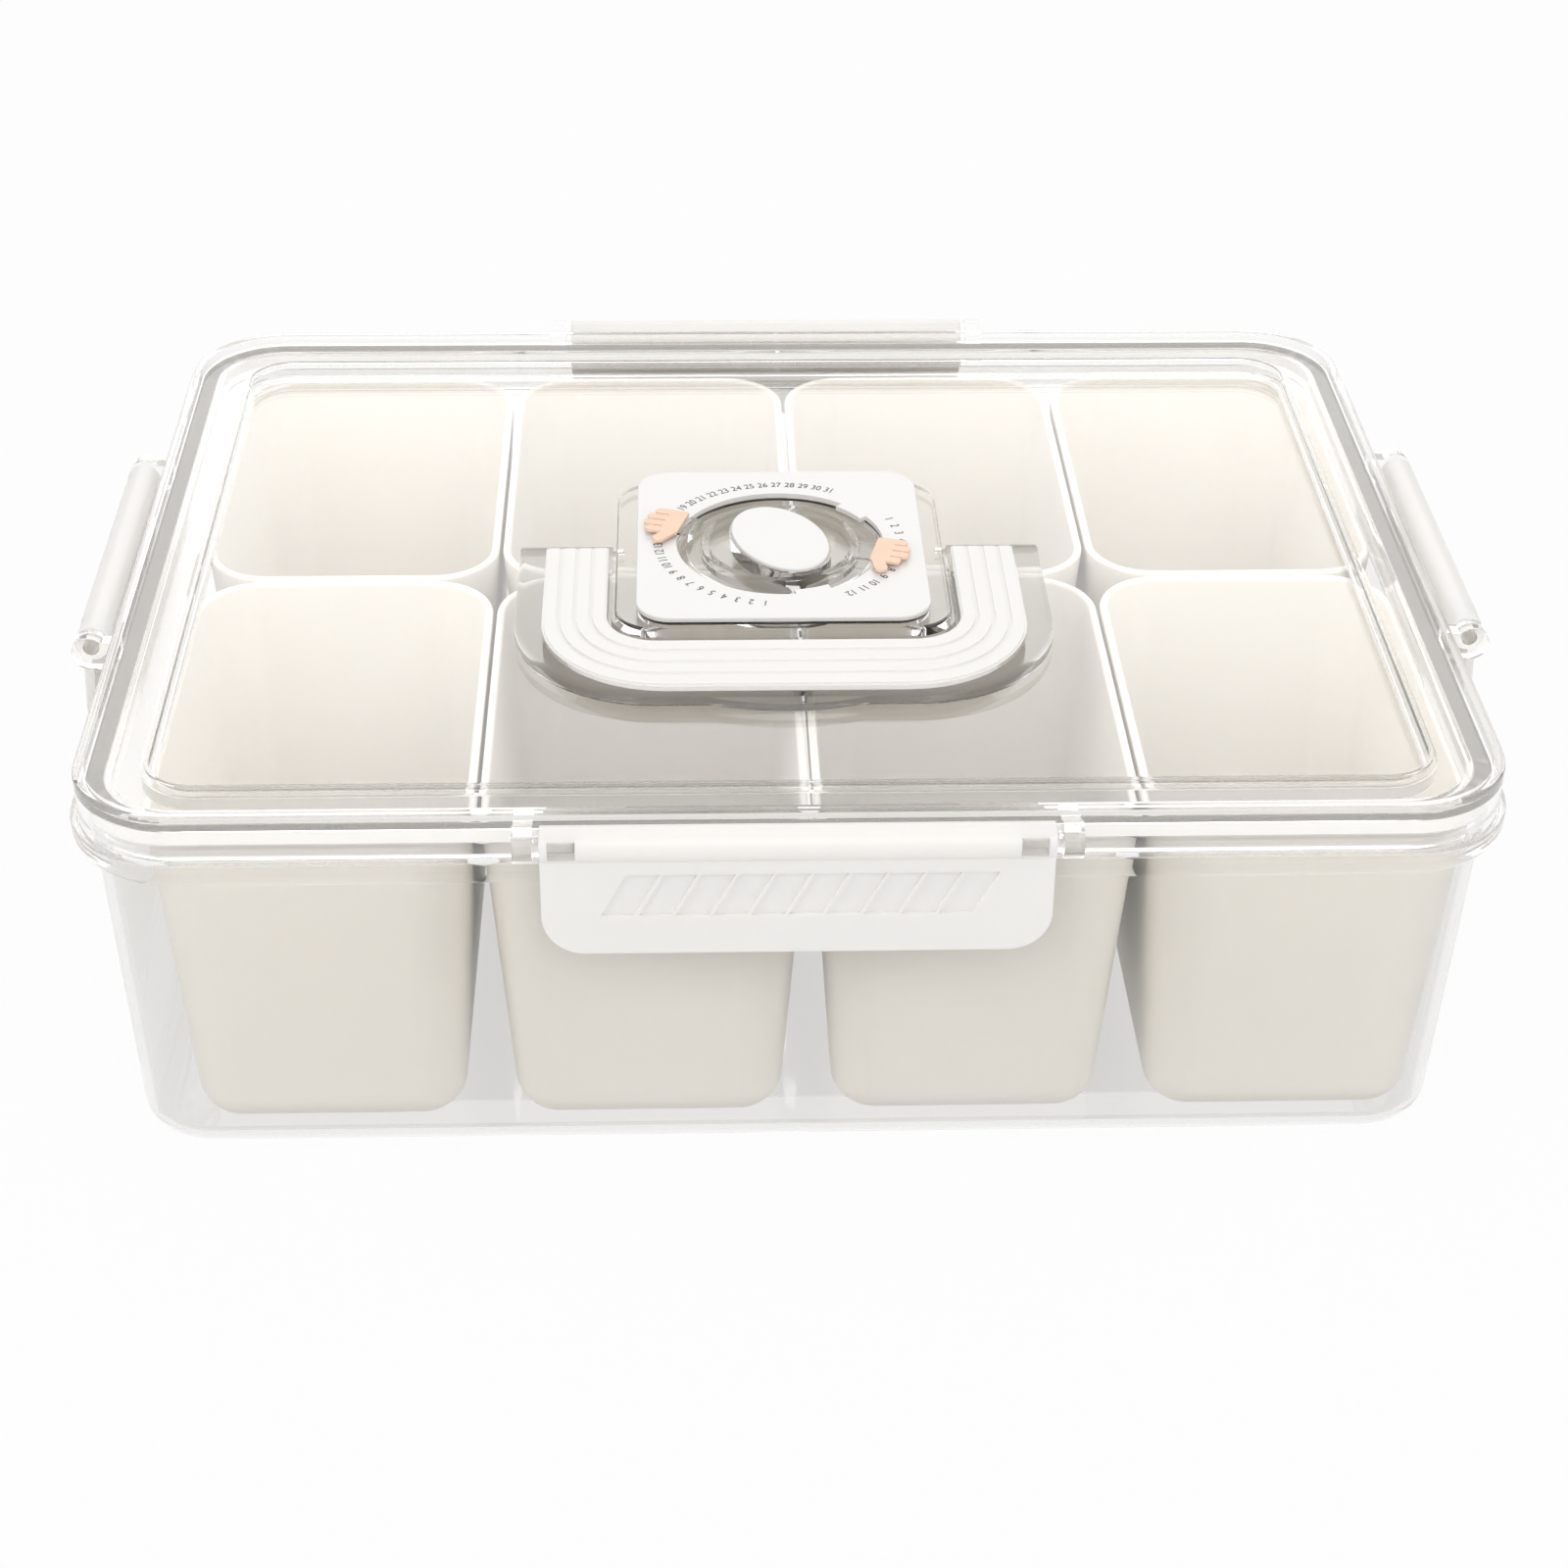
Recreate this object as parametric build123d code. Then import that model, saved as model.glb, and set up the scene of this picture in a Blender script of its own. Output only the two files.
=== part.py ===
from build123d import *
from math import asin, atan2, cos, degrees, radians, sin, tan
import os

# Divided snack box: a clear tub with eight loose cups, and a clear lid with a seal, four snap
# latches, a folding handle and a two-pointer date dial.
# Millimetres. X is the long side, -Y the front, +Z up. The origin is on the underside, in the
# middle of the outline.

# Lid outline, which the tub follows
lid_length = 320.0
lid_width = 246.0
lid_corner_radius = 24.0

# Tub
tub_height = 91.1
tub_wall = 2.2
tub_floor = 2.6
tub_draft_deg = 2.4
tub_bottom_radius = 8.0
tub_inner_radius = 5.0
rim_edge_radius = 0.6
foot_ring_width = 9.0
foot_ring_depth = 0.8

# Lip round the tub, under the lid's skirt
lip_overhang = 1.7
lip_height = 7.2
lip_round = 4.4
lip_edge_radius = 0.5
catch_depth = 5.8
catch_side_margin = 15.0

# Lid shell
skirt_wall = 2.2
skirt_height = 11.2
skirt_side_gap = 0.8
skirt_lip_gap = 0.2
deck_thickness = 2.0
bead_width = 2.6
bead_height = 2.4
bead_edge_radius = 1.1
panel_inset = 16.1
panel_depth = 4.0
panel_thickness = 2.0
panel_wall = 2.0
panel_corner_radius = 11.0
panel_foot_radius = 0.9
panel_ridge_width = 1.0
panel_ridge_height = 0.6
panel_ridge_edge = 0.3

# Seal in the lid's channel
seal_side_gap = 0.5
seal_width = 3.9
seal_height = 3.7
seal_rim_gap = 0.2
seal_groove_width = 1.2
seal_groove_depth = 0.7
rib_gap = 0.3
rib_wall = 1.4
rib_height = 5.5

# Cups
cup_columns = 4
cup_rows = 2
cup_slack_x = 10.4
cup_slack_y = 5.8
cup_lid_gap = 3.0
cup_wall = 2.0
cup_floor = 2.0
cup_draft_deg = 4.0
cup_corner_radius = 16.0
cup_bottom_radius = 9.0
cup_rim_radius = 0.95
cup_gap = 0.8
cup_floor_gap = 0.2
cup_shift_x = 4.0
cup_shift_y = -1.3

# Latches
long_latch_length = 111.8
short_latch_length = 83.4
latch_pin_offset = 5.2
latch_pin_drop = 3.9
latch_barrel_radius = 4.1
latch_plate_front = 2.5
latch_plate_thickness = 2.4
latch_drop = 26.8
latch_corner_radius = 9.5
latch_edge_radius = 0.45
latch_end_gap = 1.4
lug_thickness = 4.4
lug_radius = 4.2
pin_radius = 1.9
pin_length = 8.6
pin_clearance = 0.08
pin_end_gap = 0.6
window_width = 6.0
window_height = 4.6
window_end_margin = 1.8
hook_bite = 0.7
hook_rest_gap = 0.2
hook_catch_gap = 0.25
hook_height = 2.4
hook_end_margin = 18.0
pocket_pitch = 8.2
pocket_rib = 0.9
pocket_height = 10.4
pocket_slant = 5.7
pocket_depth = 0.8
pocket_top_drop = 6.6
pocket_side_margin = 8.0

# Handle
handle_half_length = 65.2
handle_front = 70.0
handle_corner_radius = 34.0
handle_inner_half = 41.9
handle_inner_front = 44.9
handle_inner_radius = 11.0
handle_thickness = 3.9
handle_panel_gap = 0.3
handle_boss_gap = 0.8
handle_pivot_y = 0.0
handle_hub_radius = 1.4
handle_outer_edge = 1.2
handle_pin_radius = 1.15
handle_pin_reach = 2.4
handle_pin_end_gap = 0.4
handle_pin_clearance = 0.08
tab_half_length = 19.0
tab_reach = 3.4
tab_thickness = 2.0
grip_outer_margin = 6.6
grip_inner_margin = 1.0
grip_front_margin = 3.0
grip_inner_front_margin = 1.2
grip_end_margin = 0.8
grip_outer_radius = 30.0
grip_inner_radius = 12.0
grip_depth = 1.6
grip_bands = 4
grip_band_height = 0.5
grip_band_gap = 1.0
grip_side_gap = 0.05

# Dial boss on the lid
boss_y = -1.5
dial_y = -2.0
base_width = 75.6
base_height = 3.4
base_corner_radius = 10.0
base_edge_radius = 0.8
riser_inset = 0.2
riser_height = 1.8
boss_wall = 2.0
boss_deck = 1.6
well_radius = 26.0
well_depth = 5.5
well_wall = 2.0
post_radius = 4.0
post_height = 3.0

# Dial plate
plate_margin_x = 5.2
plate_margin_y = 0.15
plate_corner_radius = 8.5
plate_thickness = 1.2
plate_edge_radius = 0.4
plate_spigot_radius = 28.8
plate_spigot_width = 1.2
plate_spigot_height = 0.8
plate_spigot_gap = 0.1
plate_tab_reach = 2.0
plate_tab_half_deg = 9.0
plate_tab_angles_deg = (41.0, -73.0)

# Day ring and month knob
turn_gap = 0.3
knob_radius = 19.7
knob_flange_reach = 2.7
knob_flange_height = 1.0
knob_floor_thickness = 2.3
knob_wall = 1.8
knob_rim_rise = 3.0
ring_shoulder_radius = 23.6
ring_shoulder_height = 2.0
ring_rise = 0.5
turn_edge_radius = 0.3
grip_long_radius = 17.4
grip_short_radius = 11.7
grip_rise = 3.4
grip_tilt_deg = 22.3
badge_margin = 0.5
badge_thickness = 1.0
badge_edge_radius = 0.45

# Pointers: a clear tab that carries a flat hand
pointer_plate_gap = 0.3
pointer_tab_thickness = 0.6
pointer_tab_width = 8.6
pointer_riser_width = 1.4
pointer_reach_share = 0.75
hand_thickness = 0.7
day_hand_angle_deg = 162.7
day_hand_inner_radius = 25.5
day_hand_reach = 9.8
month_hand_angle_deg = -15.0
month_hand_inner_radius = 24.0
month_hand_reach = 9.0
finger_width = 2.6
finger_gap = 0.4
finger_count = 4
palm_length = 4.6
thumb_width = 3.2
thumb_length = 6.6
thumb_angle_deg = 66.0

# Levels worked out from the sizes above
seal_bottom = tub_height + seal_rim_gap
deck_under = seal_bottom + seal_height
deck_top = deck_under + deck_thickness
lid_top = deck_top + bead_height
skirt_bottom = lid_top - skirt_height
lip_top = skirt_bottom - skirt_lip_gap
lip_bottom = lip_top - lip_height
catch_bottom = lip_top - catch_depth
panel_top = deck_top - panel_depth
panel_under = panel_top - panel_thickness
panel_ridge_top = deck_top + panel_ridge_height
rim_inset = skirt_wall + skirt_side_gap
latch_pin_z = lid_top - latch_pin_drop
hook_top = catch_bottom - hook_catch_gap
hook_tip = lip_overhang - hook_bite
latch_rest_deg = degrees(asin((hook_bite + hook_rest_gap) / (latch_pin_z - hook_top)))
base_top = panel_top + base_height
plate_under = base_top + riser_height
plate_top = plate_under + plate_thickness
well_floor = plate_top - well_depth
well_under = well_floor - panel_thickness
cup_bottom = tub_floor + cup_floor_gap
cup_rim = panel_under - cup_lid_gap
cup_height = cup_rim - cup_bottom
handle_bottom = panel_top + handle_panel_gap
handle_top = handle_bottom + handle_thickness
handle_middle = handle_bottom + handle_thickness / 2
handle_pivot_z = handle_bottom + handle_hub_radius
knob_bottom = well_floor + turn_gap
knob_flange_top = knob_bottom + knob_flange_height
post_top = well_floor + post_height
knob_floor = knob_bottom + knob_floor_thickness
knob_rim = knob_floor + knob_rim_rise
ring_bottom = knob_flange_top + turn_gap
ring_shoulder = ring_bottom + ring_shoulder_height
ring_top = ring_shoulder + ring_rise
ring_inner_radius = knob_radius + turn_gap
ring_outer_radius = well_radius - turn_gap
pointer_tab_under = plate_top + pointer_plate_gap
pointer_tab_top = pointer_tab_under + pointer_tab_thickness
badge_under = knob_floor + grip_rise

# Outlines worked out from the sizes above
tub_inner_length = lid_length - 2 * (rim_inset + tub_wall)
tub_inner_width = lid_width - 2 * (rim_inset + tub_wall)
cup_length = (tub_inner_length - cup_slack_x - (cup_columns - 1) * cup_gap) / cup_columns
cup_width = (tub_inner_width - cup_slack_y - (cup_rows - 1) * cup_gap) / cup_rows
base_length = 2 * (handle_inner_half - handle_boss_gap)
plate_length = base_length - 2 * plate_margin_x
plate_width = base_width - 2 * plate_margin_y


def block(length, width, radius, low, high, centre_y=0.0):
    """Upright block with a rounded outline."""
    outline = Pos(0, centre_y, low) * RectangleRounded(length, width, radius)
    return extrude(outline, high - low)


def outline_block(inset, low, high):
    """Upright block that follows the lid's outline, inset from its outer face."""
    return block(
        lid_length - 2 * inset,
        lid_width - 2 * inset,
        lid_corner_radius - inset,
        low,
        high,
    )


def drafted_block(inset, low, high):
    """Block inside the lid's outline that narrows downwards by the tub's draft."""
    top = Pos(0, 0, high) * RectangleRounded(
        lid_length - 2 * inset, lid_width - 2 * inset, lid_corner_radius - inset
    )
    return extrude(top, high - low, dir=(0, 0, -1), taper=tub_draft_deg)


def edges_at(solid, level):
    """Edges that lie flat at one height."""
    near = 0.001
    return [
        edge
        for edge in solid.edges()
        if abs(edge.bounding_box().min.Z - level) < near
        and abs(edge.bounding_box().max.Z - level) < near
    ]


def fillet_loop(solid, level, radius, keep):
    """Round the flat edges at one height whose centre passes a test."""
    chosen = [edge for edge in edges_at(solid, level) if keep(edge.center())]
    return fillet(chosen, radius)


def on_side(side, local):
    """Place a shape drawn with +Y outwards from the lid's face on one of the four sides."""
    turns = {"back": 0, "left": 90, "front": 180, "right": -90}
    reach = lid_width / 2 if side in ("front", "back") else lid_length / 2
    return Rot(0, 0, turns[side]) * Pos(0, reach, 0) * local


def latch_length(side):
    """Length of the latch on one side."""
    return long_latch_length if side in ("front", "back") else short_latch_length


def x_cylinder(radius, start, end, y, z):
    """Cylinder along X from start to end."""
    middle = (start + end) / 2
    return Pos(middle, y, z) * Rot(0, 90, 0) * Cylinder(radius, abs(end - start))


def y_box(start, end, near, far, low, high):
    """Box given by its limits along X, Y and Z."""
    centre = Pos((start + end) / 2, (near + far) / 2, (low + high) / 2)
    return centre * Box(abs(end - start), abs(far - near), high - low)


SIDES = ("front", "back", "left", "right")


def make_tub():
    """Clear tub: drafted walls, a rounded lip with four catches, and a foot ring."""
    body = drafted_block(rim_inset, 0, lip_bottom)
    body = fillet(edges_at(body, 0), tub_bottom_radius)
    body += outline_block(rim_inset, lip_bottom, tub_height)
    lip = outline_block(-lip_overhang, lip_bottom, lip_top)
    lip = fillet(edges_at(lip, lip_bottom), lip_round)
    lip = fillet(edges_at(lip, lip_top), lip_edge_radius)
    body += lip
    for side in SIDES:
        half = latch_length(side) / 2 - catch_side_margin
        bar_top = lip_top - lip_edge_radius
        bar = y_box(-half, half, -rim_inset - tub_wall / 2, lip_overhang, catch_bottom, bar_top)
        body += on_side(side, bar)
    hollow = drafted_block(rim_inset + tub_wall, tub_floor, lip_bottom)
    hollow = fillet(edges_at(hollow, tub_floor), tub_inner_radius)
    body -= hollow
    body -= outline_block(rim_inset + tub_wall, lip_bottom, tub_height + 1)
    shrink = rim_inset + tan(radians(tub_draft_deg)) * lip_bottom + tub_bottom_radius + foot_ring_width
    body -= outline_block(shrink, -1, foot_ring_depth)
    rim_edges = edges_at(body, tub_height)
    return fillet(rim_edges, rim_edge_radius)


def make_cup(column, row):
    """One loose cup with rounded corners and drafted walls."""
    step_x = cup_length + cup_gap
    step_y = cup_width + cup_gap
    x = cup_shift_x + (column - (cup_columns - 1) / 2) * step_x
    y = cup_shift_y + (row - (cup_rows - 1) / 2) * step_y
    rim = Pos(0, 0, cup_rim) * RectangleRounded(cup_length, cup_width, cup_corner_radius)
    outside = extrude(rim, cup_height, dir=(0, 0, -1), taper=cup_draft_deg)
    outside = fillet(edges_at(outside, cup_bottom), cup_bottom_radius)
    mouth = Pos(0, 0, cup_rim) * RectangleRounded(
        cup_length - 2 * cup_wall, cup_width - 2 * cup_wall, cup_corner_radius - cup_wall
    )
    inside = extrude(mouth, cup_height - cup_floor, dir=(0, 0, -1), taper=cup_draft_deg)
    inside = fillet(edges_at(inside, cup_bottom + cup_floor), cup_bottom_radius - cup_wall)
    cup = outside - inside
    cup = fillet(edges_at(cup, cup_rim), cup_rim_radius)
    return Pos(x, y, 0) * cup


def make_lug(length, end):
    """Lug on the skirt with the stub pin that the latch turns on."""
    inner = length / 2 + latch_end_gap
    outer = inner + lug_thickness
    lug = x_cylinder(lug_radius, end * inner, end * outer, latch_pin_offset, latch_pin_z)
    root_bottom = latch_pin_z - lug_radius
    root_top = lid_top - bead_edge_radius
    lug += y_box(end * inner, end * outer, -skirt_wall / 2, latch_pin_offset, root_bottom, root_top)
    tip = length / 2 + latch_end_gap - pin_length
    return lug + x_cylinder(pin_radius, end * tip, end * inner, latch_pin_offset, latch_pin_z)


def plate_block(inset, low, high):
    """Upright block that follows the dial plate's outline, inset from its edge."""
    length = plate_length - 2 * inset
    return block(length, plate_width - 2 * inset, plate_corner_radius - inset, low, high, boss_y)


def spigot_ring(gap, low, high):
    """Ring about the dial's axis that keeps the plate in place, or its groove with a gap."""
    outer = plate_spigot_radius + plate_spigot_width / 2 + gap
    inner = plate_spigot_radius - plate_spigot_width / 2 - gap
    return disc(outer, low, high) - disc(inner, low - 1, high + 1)


def make_boss(lid):
    """Add the dial's base, the riser under its plate, the well and the handle's sockets."""
    base = block(base_length, base_width, base_corner_radius, panel_under, base_top, boss_y)
    lid += fillet(edges_at(base, base_top), base_edge_radius)
    lid += plate_block(riser_inset, panel_under, plate_under)
    lid -= disc(well_radius, well_floor, plate_under + 1)
    spigot_floor = plate_under - plate_spigot_height - plate_spigot_gap
    lid -= spigot_ring(plate_spigot_gap, spigot_floor, plate_under + 1)
    hollow = plate_block(riser_inset + boss_wall, panel_under - 1, plate_under - boss_deck)
    hollow -= disc(well_radius + well_wall, panel_under - 2, plate_under)
    lid -= hollow
    lid -= disc(well_radius, panel_under - 1, well_under)
    lid += disc(post_radius, well_floor, post_top)
    for end in (-1, 1):
        mouth = end * (base_length / 2 + 1)
        bottom = end * (handle_inner_half - handle_pin_reach - handle_pin_end_gap)
        radius = handle_pin_radius + handle_pin_clearance
        lid -= x_cylinder(radius, mouth, bottom, handle_pivot_y, handle_pivot_z)
    return lid


def panel_block(inset, low, high):
    """Upright block that follows the sunk panel's outline, inset from its edge."""
    return block(
        lid_length - 2 * (panel_inset + inset),
        lid_width - 2 * (panel_inset + inset),
        panel_corner_radius - inset,
        low,
        high,
    )


def inside_bead(point):
    """Whether an edge's centre lies inside the lid's raised bead."""
    return abs(point.X) < lid_length / 2 - 2 * bead_width and abs(point.Y) < lid_width / 2 - 2 * bead_width


def make_lid():
    """Clear lid: skirt, raised bead, deck, sunk panel, seal rib, lugs and dial boss."""
    lid = outline_block(0, skirt_bottom, lid_top)
    lid = fillet(edges_at(lid, lid_top), bead_edge_radius)
    lid -= outline_block(bead_width, deck_top, lid_top + 1)
    pan = panel_block(-panel_wall, panel_under, deck_top)
    lid -= outline_block(skirt_wall, skirt_bottom - 1, deck_under) - pan
    lid += panel_block(-panel_ridge_width, deck_top, panel_ridge_top)
    sunk = panel_block(0, panel_top, panel_ridge_top + 1)
    lid -= fillet(edges_at(sunk, panel_top), panel_foot_radius)
    lid = fillet_loop(lid, panel_ridge_top, panel_ridge_edge, inside_bead)
    rib_inset = skirt_wall + seal_side_gap + seal_width + rib_gap
    rib_bottom = deck_under - rib_height
    rib = outline_block(rib_inset, rib_bottom, deck_under)
    rib -= outline_block(rib_inset + rib_wall, rib_bottom - 1, deck_under + 1)
    lid += rib
    for side in SIDES:
        for end in (-1, 1):
            lid += on_side(side, make_lug(latch_length(side), end))
    return make_boss(lid)


def make_seal():
    """Soft seal ring that presses on the tub's rim."""
    inset = skirt_wall + seal_side_gap
    ring = outline_block(inset, seal_bottom, deck_under)
    ring -= outline_block(inset + seal_width, seal_bottom - 1, deck_under + 1)
    groove_inset = inset + (seal_width - seal_groove_width) / 2
    groove = outline_block(groove_inset, seal_bottom - 1, seal_bottom + seal_groove_depth)
    groove -= outline_block(groove_inset + seal_groove_width, seal_bottom - 2, deck_under)
    return ring - groove


def make_pocket(left, low):
    """Slanted pocket cutter for the latch's grip pattern, before the latch is tilted."""
    right = left + pocket_pitch - pocket_rib
    high = low + pocket_height
    corners = [(left, low), (right, low), (right - pocket_slant, high), (left - pocket_slant, high)]
    outline = make_face(Polyline(*corners, close=True))
    front = latch_pin_offset + latch_plate_front
    return Pos(0, front + 1, 0) * Rot(90, 0, 0) * extrude(outline, 1 + pocket_depth)


def make_latch(side):
    """Snap latch: barrel with two pin bores and windows, plate with slanted pockets, hook."""
    length = latch_length(side)
    half = length / 2
    front = latch_pin_offset + latch_plate_front
    inner = front - latch_plate_thickness
    bottom = latch_pin_z - latch_drop
    plate = y_box(-half, half, inner, front, bottom, latch_pin_z)
    corners = plate.edges().filter_by(Axis.Y).group_by(Axis.Z)[0]
    plate = fillet(corners, latch_corner_radius)
    outer_face = plate.faces().sort_by(Axis.Y)[-1]
    plate = fillet(outer_face.edges(), latch_edge_radius)
    barrel = x_cylinder(latch_barrel_radius, -half, half, latch_pin_offset, latch_pin_z)
    barrel = fillet(barrel.edges().filter_by(GeomType.CIRCLE), latch_edge_radius)
    latch = plate + barrel
    hook_half = half - hook_end_margin
    hook_profile = [
        (inner + latch_plate_thickness / 2, hook_top),
        (hook_tip, hook_top),
        (hook_tip, hook_top - hook_height / 3),
        (inner + latch_plate_thickness / 2, hook_top - 2 * hook_height),
    ]
    hook_face = Plane.YZ.offset(-hook_half) * make_face(Polyline(*hook_profile, close=True))
    latch += extrude(hook_face, 2 * hook_half)
    bore_depth = pin_length - latch_end_gap + pin_end_gap
    for end in (-1, 1):
        bore_end = end * (half - bore_depth)
        latch -= x_cylinder(
            pin_radius + pin_clearance, end * (half + 1), bore_end, latch_pin_offset, latch_pin_z
        )
        outer = end * (half - window_end_margin)
        window = y_box(
            outer,
            outer - end * window_width,
            latch_pin_offset + pin_radius / 2,
            latch_pin_offset + 2 * latch_barrel_radius,
            latch_pin_z - window_height / 2,
            latch_pin_z + window_height / 2,
        )
        latch -= window
    count = int((length - 2 * pocket_side_margin - pocket_slant) / pocket_pitch)
    first = -(count * pocket_pitch - pocket_slant) / 2
    low = latch_pin_z - pocket_top_drop - pocket_height
    for index in range(count):
        latch -= make_pocket(first + index * pocket_pitch, low)
    pin_axis = Pos(0, latch_pin_offset, latch_pin_z)
    tilt = Rot(latch_rest_deg, 0, 0)
    return on_side(side, pin_axis * tilt * Pos(0, -latch_pin_offset, -latch_pin_z) * latch)


def u_outline(half, front, radius, back):
    """Sketch of a plate from the back line forwards to the front, with two front corners rounded."""
    outline = Pos(0, (back + front) / 2) * Rectangle(2 * half, back - front)
    corners = outline.vertices().group_by(Axis.Y)[0]
    return fillet(corners, radius)


def make_handle_frame():
    """Clear U-shaped handle that lies flat in the sunk panel and turns on two stub pins."""
    back = handle_pivot_y + 2 * handle_hub_radius
    front = handle_pivot_y - handle_front
    inner_front = handle_pivot_y - handle_inner_front
    outline = u_outline(handle_half_length, front, handle_corner_radius, back)
    outline -= u_outline(handle_inner_half, inner_front, handle_inner_radius, back + 1)
    frame = extrude(Pos(0, 0, handle_bottom) * outline, handle_thickness)

    def outer(point):
        beyond_inner = abs(point.X) > handle_inner_half + 1 or point.Y < inner_front - 1
        return beyond_inner and point.Y < handle_pivot_y

    for level in (handle_top, handle_bottom):
        frame = fillet_loop(frame, level, handle_outer_edge, outer)
    reach = handle_half_length + 1
    side_view = y_box(-reach, reach, front - 1, handle_pivot_y, handle_bottom, handle_top)
    side_view += x_cylinder(handle_hub_radius, -reach, reach, handle_pivot_y, handle_pivot_z)
    frame = frame & side_view
    tab_radius = (tab_half_length**2 + tab_reach**2) / (2 * tab_reach)
    tab = Pos(0, front - tab_reach + tab_radius, handle_middle) * Cylinder(tab_radius, tab_thickness)
    tab &= y_box(-tab_half_length, tab_half_length, front - tab_reach, front + tab_reach, 0, handle_top)
    frame += tab
    frame -= make_grip_body(0, handle_top - grip_depth, handle_top + 1, 0.0, 1.0)
    for end in (-1, 1):
        start = end * (handle_inner_half + 1)
        frame += x_cylinder(
            handle_pin_radius, start, end * (handle_inner_half - handle_pin_reach), handle_pivot_y, handle_pivot_z
        )
    return frame


def grip_outline(share, back):
    """Outline of the grip strip's edge: share 0 is its inner edge and 1 its outer edge."""
    inner_half = handle_inner_half + grip_inner_margin
    outer_half = handle_half_length - grip_outer_margin
    inner_front = handle_pivot_y - handle_inner_front - grip_inner_front_margin
    outer_front = handle_pivot_y - handle_front + grip_front_margin
    half = inner_half + share * (outer_half - inner_half)
    front = inner_front + share * (outer_front - inner_front)
    radius = grip_inner_radius + share * (grip_outer_radius - grip_inner_radius)
    return u_outline(half, front, radius, back)


def make_grip_body(side_gap, low, high, start_share, end_share):
    """Part of the grip strip between two shares of its width, with a gap at each edge."""
    width = handle_half_length - grip_outer_margin - handle_inner_half - grip_inner_margin
    gap_share = side_gap / width
    back = handle_pivot_y - grip_end_margin - side_gap
    strip = grip_outline(end_share - gap_share, back)
    strip -= grip_outline(start_share + gap_share, back + 1)
    return extrude(Pos(0, 0, low) * strip, high - low)


def make_handle_grip():
    """White strip let into the handle, with raised U-shaped bands."""
    base = make_grip_body(grip_side_gap, handle_top - grip_depth, handle_top, 0.0, 1.0)
    for index in range(grip_bands):
        start = index / grip_bands
        end = (index + 1) / grip_bands
        low = handle_top - grip_depth / 2
        high = handle_top + grip_band_height
        base += make_grip_body(grip_band_gap / 2, low, high, start, end)
    return base


def dial_place(angle_deg=0.0):
    """Turn about the dial's axis and move to the dial's centre."""
    return Pos(0, dial_y, 0) * Rot(0, 0, angle_deg)


def make_dial_plate():
    """White plate for the printed numbers, with two tabs that hold the ring down."""
    plate = plate_block(0, plate_under, plate_top)
    plate = fillet(edges_at(plate, plate_top), plate_edge_radius)
    plate += spigot_ring(0, plate_under - plate_spigot_height, plate_under)
    plate -= disc(well_radius, plate_under - 1, plate_top + 1)
    for angle in plate_tab_angles_deg:
        inner = well_radius - plate_tab_reach
        outer = well_radius + plate_tab_reach
        middle = (plate_under + plate_top) / 2
        sector = Cylinder(outer, plate_thickness) - Cylinder(inner, 2 * plate_thickness)
        wedge_half = outer * tan(radians(plate_tab_half_deg))
        wedge = y_box(0, 2 * outer, -wedge_half, wedge_half, -plate_thickness, plate_thickness)
        plate += dial_place(angle) * Pos(0, 0, middle) * (sector & wedge)
    return plate


def disc(radius, low, high):
    """Upright disc about the dial's axis."""
    return Pos(0, dial_y, (low + high) / 2) * Cylinder(radius, high - low)


def pointer_arm(angle, foot_radius, foot_level, outer):
    """Clear arm that steps up from a turning piece's edge and carries a hand over the plate."""
    half = pointer_tab_width / 2
    middle = foot_radius - pointer_riser_width / 2
    foot = disc(foot_radius, foot_level - pointer_riser_width / 2, pointer_tab_top)
    foot -= disc(foot_radius - pointer_riser_width, well_floor, pointer_tab_top + 1)
    sector = y_box(0, 2 * foot_radius, -half, half, well_floor, pointer_tab_top + 1)
    riser = foot & dial_place(angle) * sector
    return riser + dial_place(angle) * y_box(middle, outer, -half, half, pointer_tab_under, pointer_tab_top)


def make_day_ring():
    """Clear ring that carries the day hand."""
    ring = disc(ring_outer_radius, ring_bottom, ring_shoulder)
    ring += disc(ring_shoulder_radius, ring_bottom, ring_top)
    ring -= disc(ring_inner_radius, ring_bottom - 1, ring_top + 1)
    ring = fillet(edges_at(ring, ring_top), turn_edge_radius)
    foot = ring_shoulder_radius - turn_edge_radius
    reach = day_hand_inner_radius + day_hand_reach * pointer_reach_share
    return ring + pointer_arm(day_hand_angle_deg, foot, ring_top, reach)


def make_month_knob():
    """Clear knob on the lid's post: flange under the ring, rim, floor and oval grip."""
    knob = disc(knob_radius, knob_bottom, knob_rim)
    knob = fillet(edges_at(knob, knob_rim), turn_edge_radius)
    knob -= disc(knob_radius - knob_wall, knob_floor, knob_rim + 1)
    knob += disc(knob_radius + knob_flange_reach, knob_bottom, knob_flange_top)
    oval = Pos(0, 0, knob_floor) * Ellipse(grip_short_radius, grip_long_radius)
    knob += dial_place(grip_tilt_deg) * extrude(oval, grip_rise)
    knob -= disc(post_radius + pin_clearance, knob_bottom - 1, post_top + turn_gap)
    foot = knob_radius - turn_edge_radius
    reach = month_hand_inner_radius + month_hand_reach * pointer_reach_share
    return knob + pointer_arm(month_hand_angle_deg, foot, knob_rim, reach)


def make_dial_badge():
    """White oval cap on the knob's grip."""
    oval = Ellipse(grip_short_radius - badge_margin, grip_long_radius - badge_margin)
    badge = extrude(Pos(0, 0, badge_under) * oval, badge_thickness)
    badge = fillet(edges_at(badge, badge_under + badge_thickness), badge_edge_radius)
    return dial_place(grip_tilt_deg) * badge


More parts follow.
